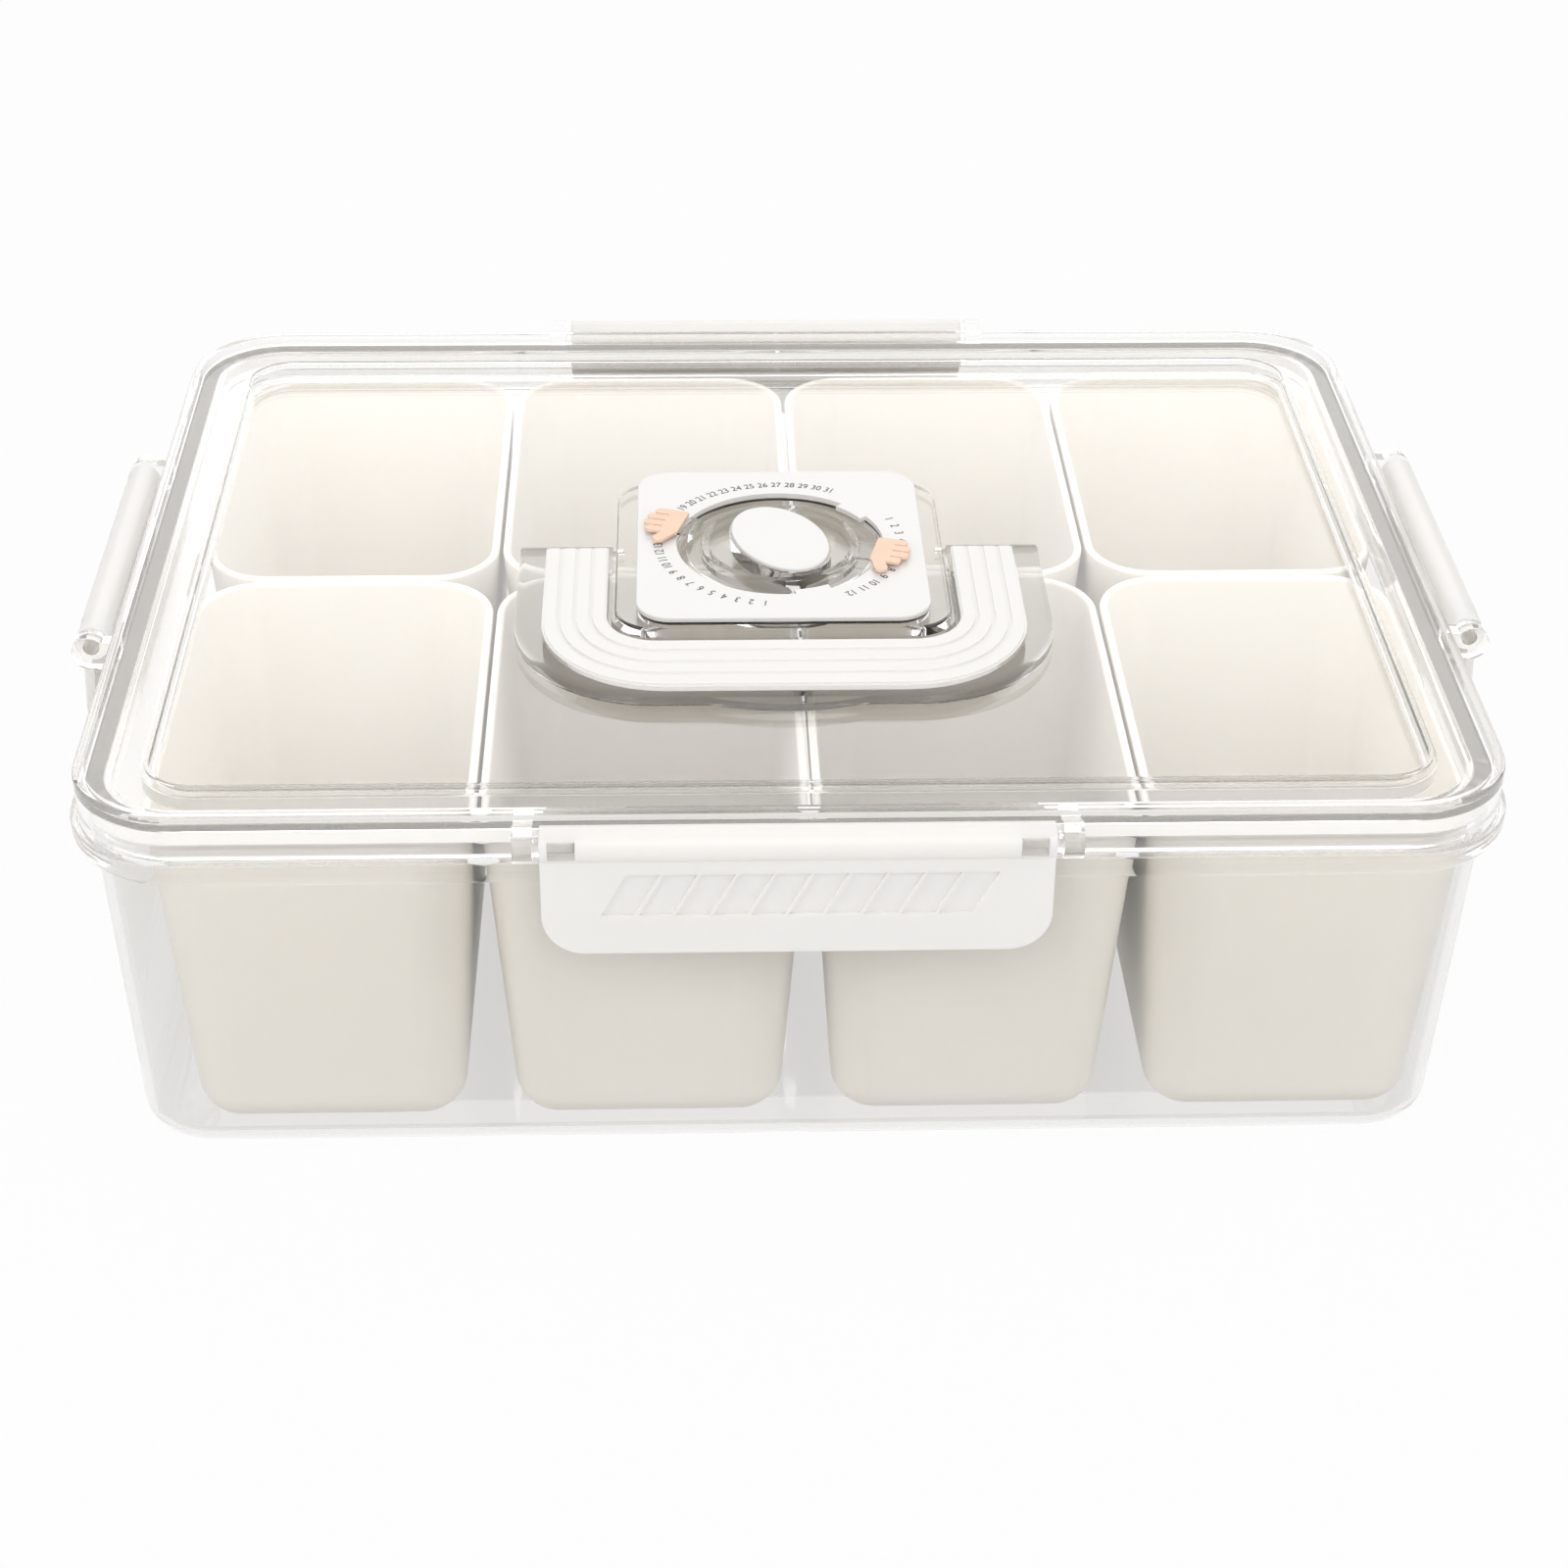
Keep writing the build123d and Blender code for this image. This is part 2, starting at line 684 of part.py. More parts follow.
def make_hand(angle, inner, reach, thumb_side):
    """Flat hand pointing outwards: palm, rounded fingers and a thumb on one side."""
    span = finger_count * finger_width + (finger_count - 1) * finger_gap
    palm = Pos(inner + palm_length / 2, 0) * RectangleRounded(palm_length, span, finger_gap * 2)
    shape = palm
    for index in range(finger_count):
        y = (index - (finger_count - 1) / 2) * (finger_width + finger_gap)
        end_rank = abs(index - (finger_count - 1) / 2) - 0.5
        length = reach - palm_length / 2 - end_rank * finger_width / 2
        x = inner + palm_length / 2 + length / 2
        shape += Pos(x, y) * SlotOverall(length, finger_width)
    thumb = Rot(0, 0, thumb_side * thumb_angle_deg) * Pos(thumb_length / 2, 0) * SlotOverall(
        thumb_length, thumb_width
    )
    shape += Pos(inner + thumb_width / 2, thumb_side * (span / 2 - thumb_width / 2)) * thumb
    return dial_place(angle) * extrude(Pos(0, 0, pointer_tab_top) * shape, hand_thickness)


def main():
    """Build every node and write one STEP file for each."""
    os.makedirs("parts", exist_ok=True)
    nodes = {
        "base_tub": make_tub(),
        "lid_cover": make_lid(),
        "lid_seal": make_seal(),
        "handle_frame": make_handle_frame(),
        "handle_grip": make_handle_grip(),
        "dial_plate": make_dial_plate(),
        "day_ring": make_day_ring(),
        "month_knob": make_month_knob(),
        "dial_badge": make_dial_badge(),
        "day_hand": make_hand(day_hand_angle_deg, day_hand_inner_radius, day_hand_reach, 1),
        "month_hand": make_hand(month_hand_angle_deg, month_hand_inner_radius, month_hand_reach, -1),
    }
    for side in SIDES:
        nodes["latch_" + side] = make_latch(side)
    row_names = ("front", "back")
    for row in range(cup_rows):
        for column in range(cup_columns):
            name = "cup_%s_%d" % (row_names[row], column + 1)
            nodes[name] = make_cup(column, row)
    for name, solid in nodes.items():
        export_step(solid, "parts/%s.step" % name)
    print("latch pin at", round(latch_pin_offset, 3), round(latch_pin_z, 3), "tilt", round(latch_rest_deg, 3))
    print("handle pivot at", handle_pivot_y, round(handle_pivot_z, 3))


main()
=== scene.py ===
import logging
import math
from dataclasses import dataclass, field
from enum import Enum
from typing import Any, Optional, Union

import bpy
from mathutils import Matrix, Vector


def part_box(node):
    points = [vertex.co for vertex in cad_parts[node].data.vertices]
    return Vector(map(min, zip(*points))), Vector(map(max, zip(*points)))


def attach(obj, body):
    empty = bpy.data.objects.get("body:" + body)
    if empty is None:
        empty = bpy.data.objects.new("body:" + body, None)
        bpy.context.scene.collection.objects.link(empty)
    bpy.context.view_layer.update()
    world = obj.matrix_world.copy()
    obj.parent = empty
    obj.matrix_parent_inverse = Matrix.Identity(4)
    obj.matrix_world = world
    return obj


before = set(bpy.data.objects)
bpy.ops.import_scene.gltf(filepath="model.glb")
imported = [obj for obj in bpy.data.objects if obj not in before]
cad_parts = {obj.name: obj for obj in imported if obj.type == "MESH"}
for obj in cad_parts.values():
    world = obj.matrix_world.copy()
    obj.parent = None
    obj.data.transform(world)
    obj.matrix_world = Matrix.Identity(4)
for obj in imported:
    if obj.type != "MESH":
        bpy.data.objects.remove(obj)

log = logging.getLogger("snack_box")

Colour = tuple[float, float, float]
Triple = tuple[float, float, float]
MM = 0.001
WHITE = (1.0, 1.0, 1.0, 1.0)
NOISE_MIDDLE = 0.5
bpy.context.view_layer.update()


class Side(Enum):
    """The four sides of the box, each with its latch."""

    FRONT = "front"
    BACK = "back"
    LEFT = "left"
    RIGHT = "right"


class Row(Enum):
    """The two rows of cups."""

    FRONT = "front"
    BACK = "back"


class Wire:
    """A shader value or vector that can be used in a Python expression."""

    def __init__(self, shader: "Shader", socket: Any) -> None:
        """Keep one output socket and the builder that it belongs to."""
        self.shader = shader
        self.socket = socket

    def maths(self, operation: str, *values: Any) -> "Wire":
        """Add one Math node, with numbers or wires in the order of its sockets, and give its result."""
        return self.shader.node("ShaderNodeMath", {"operation": operation}, dict(enumerate(values)))

    def __add__(self, other: Any) -> "Wire":
        """Sum of two values."""
        return self.maths("ADD", self, other)

    def __radd__(self, other: Any) -> "Wire":
        """Sum of two values."""
        return self.maths("ADD", other, self)

    def __sub__(self, other: Any) -> "Wire":
        """Difference of two values."""
        return self.maths("SUBTRACT", self, other)

    def __rsub__(self, other: Any) -> "Wire":
        """Difference of two values."""
        return self.maths("SUBTRACT", other, self)

    def __mul__(self, other: Any) -> "Wire":
        """Product of two values."""
        return self.maths("MULTIPLY", self, other)

    def __rmul__(self, other: Any) -> "Wire":
        """Product of two values."""
        return self.maths("MULTIPLY", other, self)

    def at_least(self, other: Any) -> "Wire":
        """The larger of two values."""
        return self.maths("MAXIMUM", self, other)

    def above(self, limit: float) -> "Wire":
        """1 where the value is above a limit, and 0 elsewhere."""
        return self.maths("GREATER_THAN", self, limit)


Value = Union[float, tuple, Wire]
Shaded = Union[bpy.types.Material, bpy.types.World]


class Shader:
    """Builds the nodes of one material or world."""

    def __init__(self, owner: Shaded) -> None:
        """Start with an empty node tree.

        Args:
            owner: The material or world that the nodes belong to.
        """
        self.owner = owner
        owner.use_nodes = True
        self.tree = owner.node_tree
        self.tree.nodes.clear()
        in_world = isinstance(owner, bpy.types.World)
        ending = "ShaderNodeOutputWorld" if in_world else "ShaderNodeOutputMaterial"
        self.output = self.tree.nodes.new(ending)

    def node(
        self,
        kind: str,
        settings: Optional[dict[str, Any]] = None,
        inputs: Optional[dict[Any, Value]] = None,
        out: Union[int, str] = 0,
    ) -> Wire:
        """Add any node.

        Args:
            kind: The node's type.
            settings: The node's properties, set before its sockets.
            inputs: Values or wires by socket name or number.
            out: Which output is returned.

        Returns:
            The chosen output.
        """
        made = self.tree.nodes.new(kind)
        for key, value in (settings or {}).items():
            setattr(made, key, value)
        for key, value in (inputs or {}).items():
            if isinstance(value, Wire):
                self.tree.links.new(value.socket, made.inputs[key])
            else:
                made.inputs[key].default_value = value
        return Wire(self, made.outputs[out])

    def position(self) -> Wire:
        """Object coordinates, in metres."""
        return self.node("ShaderNodeTexCoord", out="Object")

    def ray(self, kind: str) -> Wire:
        """One output of Light Path."""
        return self.node("ShaderNodeLightPath", out=kind)

    def seen(self) -> Wire:
        """Tell the rays that show a background from those that only carry light.

        Returns:
            1 for a straight, a mirrored or a passed-on ray, and 0 for any other.
        """
        straight = self.ray("Is Camera Ray")
        mirrored = self.ray("Is Glossy Ray")
        through = self.ray("Is Transmission Ray")
        return straight.at_least(mirrored).at_least(through)

    def mix_shader(self, share: Value, first: Wire, second: Wire) -> Wire:
        """Blend of two shaders, with a share of 0 for the first and 1 for the second."""
        return self.node("ShaderNodeMixShader", {}, {0: share, 1: first, 2: second})

    def noise(self, scale: float, detail: float, stretch: Triple = (1.0, 1.0, 1.0)) -> Wire:
        """A noise value about NOISE_MIDDLE, with scale features per metre, squeezed along each axis."""
        spread = self.node("ShaderNodeMapping", {}, {"Vector": self.position(), "Scale": stretch})
        return self.node("ShaderNodeTexNoise", {}, {"Vector": spread, "Scale": scale, "Detail": detail})

    def mix_colour(self, share: Value, first: Colour, second: Colour) -> Wire:
        """Blend of two colours, with a share of 0 for the first and 1 for the second."""
        inputs = {"Factor": share, 6: (*first, 1.0), 7: (*second, 1.0)}
        return self.node("ShaderNodeMix", {"data_type": "RGBA"}, inputs, out=2)

    def bump(self, height: Wire, depth: float, strength: float) -> Wire:
        """A normal bent by a height from 0 to 1, where 1 stands for depth, in metres."""
        return self.node("ShaderNodeBump", {}, {"Height": height, "Distance": depth, "Strength": strength})

    def surface(self, wire: Wire) -> Shaded:
        """Connect the surface and give the material or world back."""
        self.tree.links.new(wire.socket, self.output.inputs["Surface"])
        return self.owner

    def volume(self, wire: Wire) -> None:
        """Connect what fills the inside."""
        self.tree.links.new(wire.socket, self.output.inputs["Volume"])


@dataclass(frozen=True)
class MouldedPlastic:
    """Opaque moulded plastic with a fine skin and faint flow marks."""

    name: str
    colour: Colour
    shade: Colour
    roughness: float = 0.34
    roughness_spread: float = 0.08
    grain: float = 2600.0
    grain_depth: float = 0.00002
    grain_strength: float = 0.25
    grain_detail: float = 2.0
    flow: float = 22.0
    flow_detail: float = 3.0
    flow_stretch: Triple = (1.0, 1.0, 2.5)
    ior: float = 1.5
    soft_light: float = 0.0
    soft_reach: Triple = (0.004, 0.0035, 0.003)

    def build(self) -> bpy.types.Material:
        """Make the material.

        Returns:
            The material.
        """
        shader = Shader(bpy.data.materials.new(self.name))
        flow = shader.noise(self.flow, self.flow_detail, self.flow_stretch)
        skin = shader.noise(self.grain, self.grain_detail)
        base = shader.mix_colour(flow, self.colour, self.shade)
        uneven = (flow - NOISE_MIDDLE) * self.roughness_spread
        rough = self.roughness + uneven + (skin - NOISE_MIDDLE) * self.roughness_spread
        inputs = {
            "Base Color": base,
            "Roughness": rough,
            "IOR": self.ior,
            "Subsurface Weight": self.soft_light,
            "Subsurface Radius": self.soft_reach,
            "Subsurface Scale": 1.0,
            "Normal": shader.bump(skin, self.grain_depth, self.grain_strength),
        }
        return shader.surface(shader.node("ShaderNodeBsdfPrincipled", {}, inputs))


@dataclass(frozen=True)
class ClearPlastic:
    """Clear moulded plastic that lets lamplight through to what it covers.

    A ray that has been passed on more often than clear_after goes straight through, so that none is
    trapped inside and turns an edge black.
    """

    name: str
    colour: Colour
    absorb_density: float
    ior: float = 1.46
    clear_after: float = 2.5
    lamp_colour: Colour = (0.995, 0.995, 0.99)
    absorb_colour: Colour = (0.72, 0.68, 0.69)
    roughness: float = 0.025
    smudge: float = 0.03
    smudge_scale: float = 60.0
    smudge_detail: float = 1.0
    ripple_scale: float = 16.0
    ripple_detail: float = 1.0
    ripple_depth: float = 0.0001
    ripple_strength: float = 0.05

    def build(self) -> bpy.types.Material:
        """Make the material.

        Returns:
            The material.
        """
        shader = Shader(bpy.data.materials.new(self.name))
        smudge = shader.noise(self.smudge_scale, self.smudge_detail)
        ripple = shader.noise(self.ripple_scale, self.ripple_detail)
        inputs = {
            "Base Color": (*self.colour, 1.0),
            "Roughness": self.roughness + (smudge - NOISE_MIDDLE).at_least(0.0) * self.smudge,
            "IOR": self.ior,
            "Transmission Weight": 1.0,
            "Normal": shader.bump(ripple, self.ripple_depth, self.ripple_strength),
        }
        clear = shader.node("ShaderNodeBsdfPrincipled", {}, inputs)
        way_out = shader.node("ShaderNodeBsdfTransparent", {}, {"Color": WHITE})
        film = shader.node("ShaderNodeBsdfTransparent", {}, {"Color": (*self.lamp_colour, 1.0)})
        trapped = shader.ray("Ray Depth").above(self.clear_after)
        for_eyes = shader.mix_shader(trapped, clear, way_out)
        absorb = {"Color": (*self.absorb_colour, 1.0), "Density": self.absorb_density}
        shader.volume(shader.node("ShaderNodeVolumeAbsorption", {}, absorb))
        return shader.surface(shader.mix_shader(shader.ray("Is Shadow Ray"), for_eyes, film))


@dataclass(frozen=True)
class PrintInk:
    """Printed ink with slightly uneven cover."""

    name: str
    colour: Colour
    worn: Colour
    roughness: float = 0.5
    roughness_spread: float = 0.2
    cover_scale: float = 900.0
    cover_detail: float = 3.0

    def build(self) -> bpy.types.Material:
        """Make the material.

        Returns:
            The material.
        """
        shader = Shader(bpy.data.materials.new(self.name))
        cover = shader.noise(self.cover_scale, self.cover_detail)
        inputs = {
            "Base Color": shader.mix_colour(cover, self.colour, self.worn),
            "Roughness": self.roughness + (cover - NOISE_MIDDLE) * self.roughness_spread,
        }
        return shader.surface(shader.node("ShaderNodeBsdfPrincipled", {}, inputs))


@dataclass(frozen=True)
class WhiteFloor:
    """Pale floor that keeps a faint shadow and is white where the camera sees it lit."""

    name: str
    colour: Colour = (0.9, 0.9, 0.9)
    glow_share: float = 0.93

    def build(self) -> bpy.types.Material:
        """Make the material.

        Returns:
            The material.
        """
        shader = Shader(bpy.data.materials.new(self.name))
        diffuse = shader.node("ShaderNodeBsdfDiffuse", {}, {"Color": (*self.colour, 1.0)})
        glow = shader.node("ShaderNodeEmission", {}, {"Color": WHITE, "Strength": 1.0})
        return shader.surface(shader.mix_shader(shader.seen() * self.glow_share, diffuse, glow))


CLEAR_FINISHES = (
    ClearPlastic("clear_tub", colour=(0.865, 0.86, 0.85), absorb_density=3.0, clear_after=4.5),
    ClearPlastic(
        "clear_lid",
        colour=(0.98, 0.977, 0.972),
        absorb_density=1.2,
        clear_after=4.5,
        lamp_colour=(0.875, 0.87, 0.86),
    ),
    ClearPlastic("clear_handle", colour=(0.985, 0.98, 0.973), absorb_density=1.0, ior=1.12),
    ClearPlastic("clear_dial", colour=(0.985, 0.98, 0.97), absorb_density=1.0, ior=1.12),
)
MOULDED_FINISHES = (
    MouldedPlastic("seal", (0.95, 0.94, 0.92), (0.92, 0.91, 0.89), roughness=0.6, grain=1400.0),
    MouldedPlastic("latch_white", (0.935, 0.91, 0.875), (0.915, 0.89, 0.855), soft_light=0.5),
    MouldedPlastic("white_grip", (0.95, 0.93, 0.9), (0.93, 0.91, 0.88), soft_light=0.1),
    MouldedPlastic("dial_white", (0.94, 0.925, 0.9), (0.92, 0.905, 0.88), roughness=0.3, soft_light=0.1),
    MouldedPlastic("hand_peach", (0.98, 0.72, 0.53), (0.96, 0.66, 0.49), roughness=0.45, flow=160.0),
    MouldedPlastic(
        "cup_white",
        (0.905, 0.868, 0.812),
        (0.885, 0.848, 0.792),
        roughness=0.4,
        soft_light=0.25,
    ),
)
DIAL_INK = PrintInk("dial_ink", colour=(0.012, 0.011, 0.011), worn=(0.035, 0.033, 0.032))


@dataclass
class Finishes:
    """Every finish on the box, built once."""

    made: dict[str, bpy.types.Material] = field(default_factory=dict)

    def build(self) -> None:
        """Make all materials."""
        for finish in (*CLEAR_FINISHES, *MOULDED_FINISHES, DIAL_INK):
            self.made[finish.name] = finish.build()

    def dress(self, node: str, finish: str) -> None:
        """Give a CAD node its finish.

        Args:
            node: The CAD node's name.
            finish: The finish's name.
        """
        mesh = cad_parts[node].data
        mesh.materials.clear()
        mesh.materials.append(self.made[finish])
        log.info("%s: %s", node, finish)


@dataclass
class NumberArc:
    """Plain numbers printed round part of the dial, at angles counted from the box's right."""

    name: str
    count: int
    first_deg: float
    step_deg: float
    radius: float
    height: float = 3.3 * MM
    narrow: float = 0.82
    thickness: float = 0.04 * MM
    upright_deg: float = 90.0

    def tree(self, ink: bpy.types.Material) -> bpy.types.NodeTree:
        """Geometry nodes that write 1 to count round an arc, tops outwards.

        Args:
            ink: The numbers' material.

        Returns:
            The node tree.
        """
        tree = bpy.data.node_groups.new(self.name, "GeometryNodeTree")
        sockets = {"Count": "NodeSocketInt"}
        for title in ("First Angle", "Step Angle", "Radius", "Height", "Narrow", "Thickness"):
            sockets[title] = "NodeSocketFloat"
        for title, kind in sockets.items():
            tree.interface.new_socket(title, in_out="INPUT", socket_type=kind)
        tree.interface.new_socket("Geometry", in_out="OUTPUT", socket_type="NodeSocketGeometry")
        nodes, links = tree.nodes, tree.links
        given = nodes.new("NodeGroupInput")
        result = nodes.new("NodeGroupOutput")
        start = nodes.new("GeometryNodeRepeatInput")
        end = nodes.new("GeometryNodeRepeatOutput")
        start.pair_with_output(end)
        links.new(given.outputs["Count"], start.inputs["Iterations"])

        number = nodes.new("FunctionNodeIntegerMath")
        number.operation = "ADD"
        number.inputs[1].default_value = 1
        links.new(start.outputs["Iteration"], number.inputs[0])
        words = nodes.new("FunctionNodeValueToString")
        words.data_type = "INT"
        links.new(number.outputs[0], words.inputs[0])
        glyphs = nodes.new("GeometryNodeStringToCurves")
        glyphs.align_x = "CENTER"
        glyphs.align_y = "MIDDLE"
        links.new(words.outputs[0], glyphs.inputs["String"])
        links.new(given.outputs["Height"], glyphs.inputs["Size"])
        flat = nodes.new("GeometryNodeFillCurve")
        links.new(glyphs.outputs[0], flat.inputs[0])
        solid = nodes.new("GeometryNodeExtrudeMesh")
        links.new(flat.outputs[0], solid.inputs["Mesh"])
        links.new(given.outputs["Thickness"], solid.inputs["Offset Scale"])
        solid.inputs["Individual"].default_value = False

        turn = nodes.new("ShaderNodeMath")
        turn.operation = "MULTIPLY_ADD"
        links.new(start.outputs["Iteration"], turn.inputs[0])
        links.new(given.outputs["Step Angle"], turn.inputs[1])
        links.new(given.outputs["First Angle"], turn.inputs[2])
        spin = nodes.new("ShaderNodeCombineXYZ")
        links.new(turn.outputs[0], spin.inputs["Z"])
        out = nodes.new("ShaderNodeCombineXYZ")
        links.new(given.outputs["Radius"], out.inputs["Y"])
        shifted = nodes.new("GeometryNodeTransform")
        links.new(solid.outputs["Mesh"], shifted.inputs["Geometry"])
        links.new(out.outputs[0], shifted.inputs["Translation"])
        slim = nodes.new("ShaderNodeCombineXYZ")
        slim.inputs["Y"].default_value = 1.0
        slim.inputs["Z"].default_value = 1.0
        links.new(given.outputs["Narrow"], slim.inputs["X"])
        links.new(slim.outputs[0], shifted.inputs["Scale"])
        turned = nodes.new("GeometryNodeTransform")
        links.new(shifted.outputs[0], turned.inputs["Geometry"])
        links.new(spin.outputs[0], turned.inputs["Rotation"])
        joined = nodes.new("GeometryNodeJoinGeometry")
        links.new(start.outputs["Geometry"], joined.inputs[0])
        links.new(turned.outputs[0], joined.inputs[0])
        links.new(joined.outputs[0], end.inputs["Geometry"])
        real = nodes.new("GeometryNodeRealizeInstances")
        links.new(end.outputs["Geometry"], real.inputs[0])
        inked = nodes.new("GeometryNodeSetMaterial")
        inked.inputs["Material"].default_value = ink
        links.new(real.outputs[0], inked.inputs["Geometry"])
        links.new(inked.outputs[0], result.inputs[0])
        return tree

    def build(self, finishes: Finishes, centre: Vector) -> bpy.types.Object:
        """Write the numbers on the dial plate.

        Args:
            finishes: The finishes, for the ink.
            centre: The dial's centre on the plate's top.

        Returns:
            The numbers as one mesh object.
        """
        values = {
            "Count": self.count,
            "First Angle": math.radians(self.first_deg - self.upright_deg),
            "Step Angle": math.radians(self.step_deg),
            "Radius": self.radius,
            "Height": self.height,
            "Narrow": self.narrow,
            "Thickness": self.thickness,
        }
        piece = grow(self.name, self.tree(finishes.made[DIAL_INK.name]), values)
        piece.data.transform(Matrix.Translation(centre))
        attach(piece, "lid")
        log.info("%s: %d numbers", self.name, self.count)
        return piece


def grow(name: str, tree: bpy.types.NodeTree, values: dict[str, Any]) -> bpy.types.Object:
    """Run a geometry tree and keep its result as a plain mesh.

    Args:
        name: The new object's name.
        tree: The geometry node tree.
        values: The tree's inputs by name.

    Returns:
        A mesh object with no modifiers.
    """
    seed = bpy.data.objects.new(name + "_seed", bpy.data.meshes.new(name + "_seed"))
    bpy.context.collection.objects.link(seed)
    modifier = seed.modifiers.new(name, "NODES")
    modifier.node_group = tree
    for socket in tree.interface.items_tree:
        if socket.in_out == "INPUT" and socket.name in values:
            modifier[socket.identifier] = values[socket.name]
    depsgraph = bpy.context.evaluated_depsgraph_get()
    depsgraph.update()
    mesh = bpy.data.meshes.new_from_object(seed.evaluated_get(depsgraph))
    bpy.data.objects.remove(seed)
    piece = bpy.data.objects.new(name, mesh)
    bpy.context.collection.objects.link(piece)
    return piece


@dataclass
class Tub:
    """The clear tub."""

    def dress(self, finishes: Finishes) -> None:
        """Give the tub its finish."""
        finishes.dress("base_tub", "clear_tub")


@dataclass
class Cups:
    """The loose cups."""

    columns: int = 4

    def dress(self, finishes: Finishes) -> None:
        """Give every cup its finish.

        Args:
            finishes: The finishes, already built.
        """
        for row in Row:
            for column in range(self.columns):
                finishes.dress(f"cup_{row.value}_{column + 1}", "cup_white")


@dataclass
class Lid:
    """The clear lid, its seal and its latches."""

    def dress(self, finishes: Finishes) -> None:
        """Give the lid, the seal and the latches their finishes.

        Args:
            finishes: The finishes, already built.
        """
        finishes.dress("lid_cover", "clear_lid")
        finishes.dress("lid_seal", "seal")
        for side in Side:
            finishes.dress(f"latch_{side.value}", "latch_white")


@dataclass
class Handle:
    """The folding handle."""

    def dress(self, finishes: Finishes) -> None:
        """Give the handle's pieces their finishes."""
        finishes.dress("handle_frame", "clear_handle")
        finishes.dress("handle_grip", "white_grip")


@dataclass
class Dial:
    """The date dial: plate, ring, knob, hands and numbers."""

    centre_y: float = -2.0 * MM
    days: int = 31
    day_radius: float = 30.5 * MM
    first_day_deg: float = 261.6
    day_step_deg: float = -6.59
    months: int = 12
    month_radius: float = 30.4 * MM
    first_month_deg: float = 23.0
    month_step_deg: float = -7.27

    def dress(self, finishes: Finishes) -> None:
        """Give the dial's pieces their finishes and print its numbers.

        Args:
            finishes: The finishes, already built.
        """
        finishes.dress("dial_plate", "dial_white")
        finishes.dress("dial_badge", "dial_white")
        finishes.dress("day_ring", "clear_dial")
        finishes.dress("month_knob", "clear_dial")
        finishes.dress("day_hand", "hand_peach")
        finishes.dress("month_hand", "hand_peach")
        plate_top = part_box("dial_plate")[1].z
        centre = Vector((0.0, self.centre_y, plate_top))
        day_angles = (self.first_day_deg, self.day_step_deg)
        month_angles = (self.first_month_deg, self.month_step_deg)
        NumberArc("day_numbers", self.days, *day_angles, self.day_radius).build(finishes, centre)
        NumberArc("month_numbers", self.months, *month_angles, self.month_radius).build(finishes, centre)


@dataclass(frozen=True)
class Lamp:
    """One soft rectangular lamp that points at the box, in metres and watts."""

    name: str
    place: Triple
    size: tuple[float, float]
    power: float
    colour: Colour = (1.0, 0.99, 0.975)
    aim: Triple = (0.0, 0.0, 0.05)

    def build(self) -> None:
        """Make the lamp and turn it towards its aim."""
        data = bpy.data.lights.new(self.name, "AREA")
        data.shape = "RECTANGLE"
        data.size, data.size_y = self.size
        data.energy = self.power
        data.color = self.colour
        lamp = bpy.data.objects.new(self.name, data)
        lamp.location = self.place
        towards = Vector(self.aim) - lamp.location
        lamp.rotation_euler = towards.to_track_quat("-Z", "Y").to_euler()
        bpy.context.collection.objects.link(lamp)


@dataclass(frozen=True)
class PhotoCamera:
    """The camera, as fitted to the photo, in metres and degrees."""

    name: str = "photo_camera"
    lens_mm: float = 67.47
    sensor_mm: float = 36.0
    nearest: float = 0.01
    place: Triple = (-0.02401, -0.649053, 0.457539)
    pitch_deg: float = 33.650
    yaw_deg: float = 2.282
    roll_deg: float = 0.749

    def build(self) -> None:
        """Put the camera where the photo was taken from."""
        pitch, yaw, roll = (math.radians(a) for a in (self.pitch_deg, self.yaw_deg, self.roll_deg))
        forwards = math.cos(pitch)
        ahead = Vector((math.sin(yaw) * forwards, math.cos(yaw) * forwards, -math.sin(pitch)))
        level = Vector((math.cos(yaw), -math.sin(yaw), 0.0))
        above = level.cross(ahead)
        right = level * math.cos(roll) + above * math.sin(roll)
        top = above * math.cos(roll) - level * math.sin(roll)
        turn = Matrix((right, top, -ahead)).transposed().to_4x4()
        data = bpy.data.cameras.new(self.name)
        data.lens = self.lens_mm
        data.sensor_width = self.sensor_mm
        data.clip_start = self.nearest
        eye = bpy.data.objects.new(self.name, data)
        eye.matrix_world = Matrix.Translation(Vector(self.place)) @ turn
        bpy.context.collection.objects.link(eye)
        bpy.context.scene.camera = eye


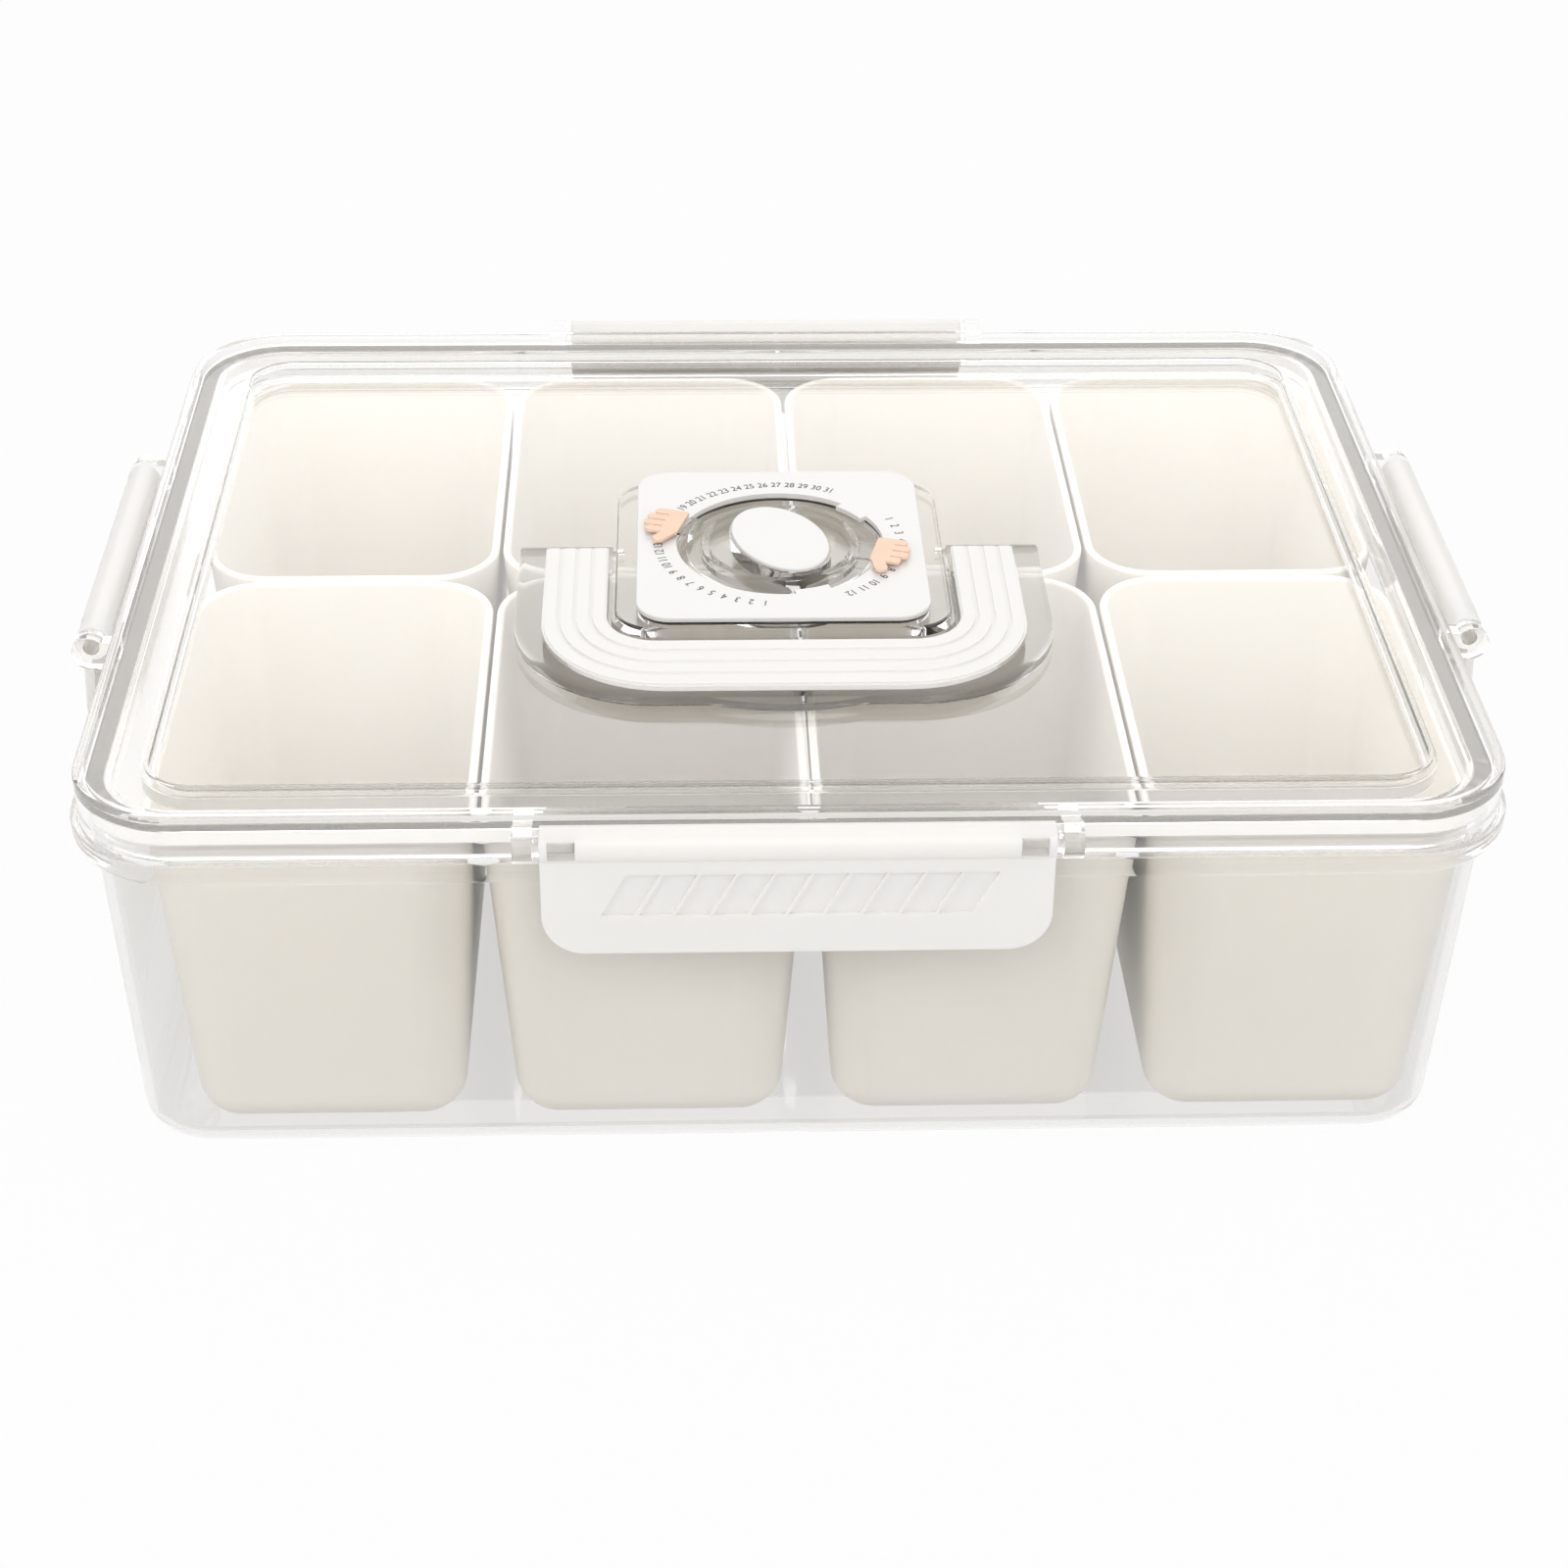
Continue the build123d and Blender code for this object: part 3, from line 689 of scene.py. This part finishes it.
@dataclass
class Studio:
    """Floor, lamps, world and camera, in metres."""

    floor_name: str = "studio_floor"
    floor_size: float = 6.0
    world_colour: Colour = (0.97, 0.98, 1.0)
    world_strength: float = 0.45
    light_bounces: int = 10
    diffuse_bounces: int = 3
    lamps: tuple[Lamp, ...] = (
        Lamp("top_softbox", (0.1, 0.15, 1.3), (1.2, 0.9), 2.8),
        Lamp("front_softbox", (0.0, -1.1, 0.9), (1.2, 0.8), 5.1),
        Lamp("left_softbox", (-1.1, -0.6, 0.8), (0.8, 0.8), 3.4),
        Lamp("right_softbox", (1.1, -0.6, 0.8), (0.8, 0.8), 2.8),
        Lamp("back_softbox", (0.0, 1.2, 0.8), (1.2, 0.8), 3.4),
    )

    def floor(self) -> None:
        """Lay the pale floor."""
        half = self.floor_size / 2
        corners = [(-half, -half, 0.0), (half, -half, 0.0), (half, half, 0.0), (-half, half, 0.0)]
        mesh = bpy.data.meshes.new(self.floor_name)
        mesh.from_pydata(corners, [], [(0, 1, 2, 3)])
        mesh.materials.append(WhiteFloor(self.floor_name).build())
        floor = bpy.data.objects.new(self.floor_name, mesh)
        bpy.context.collection.objects.link(floor)

    def world(self) -> None:
        """Even pale light from all round, and white where it is seen."""
        shader = Shader(bpy.data.worlds.new("studio_world"))
        soft = {"Color": (*self.world_colour, 1.0), "Strength": self.world_strength}
        light = shader.node("ShaderNodeBackground", {}, soft)
        backdrop = shader.node("ShaderNodeBackground", {}, {"Color": WHITE, "Strength": 1.0})
        bpy.context.scene.world = shader.surface(shader.mix_shader(shader.seen(), light, backdrop))

    def view(self) -> None:
        """Set how light is counted and shown."""
        scene = bpy.context.scene
        scene.view_settings.view_transform = "Standard"
        scene.cycles.max_bounces = self.light_bounces
        scene.cycles.glossy_bounces = self.light_bounces
        scene.cycles.diffuse_bounces = self.diffuse_bounces
        scene.cycles.transmission_bounces = self.light_bounces
        scene.cycles.transparent_max_bounces = self.light_bounces

    def build(self) -> None:
        """Make the whole studio."""
        self.floor()
        for lamp in self.lamps:
            lamp.build()
        self.world()
        PhotoCamera().build()
        self.view()
        log.info("studio: %d lamps", len(self.lamps))


def main() -> None:
    """Dress the box and set up the studio."""
    finishes = Finishes()
    finishes.build()
    for part in (Tub(), Cups(), Lid(), Handle(), Dial()):
        part.dress(finishes)
        log.info("%s dressed", type(part).__name__)
    Studio().build()


if __name__ == "__main__":
    logging.basicConfig(level=logging.INFO, format="%(name)s %(message)s")
    main()
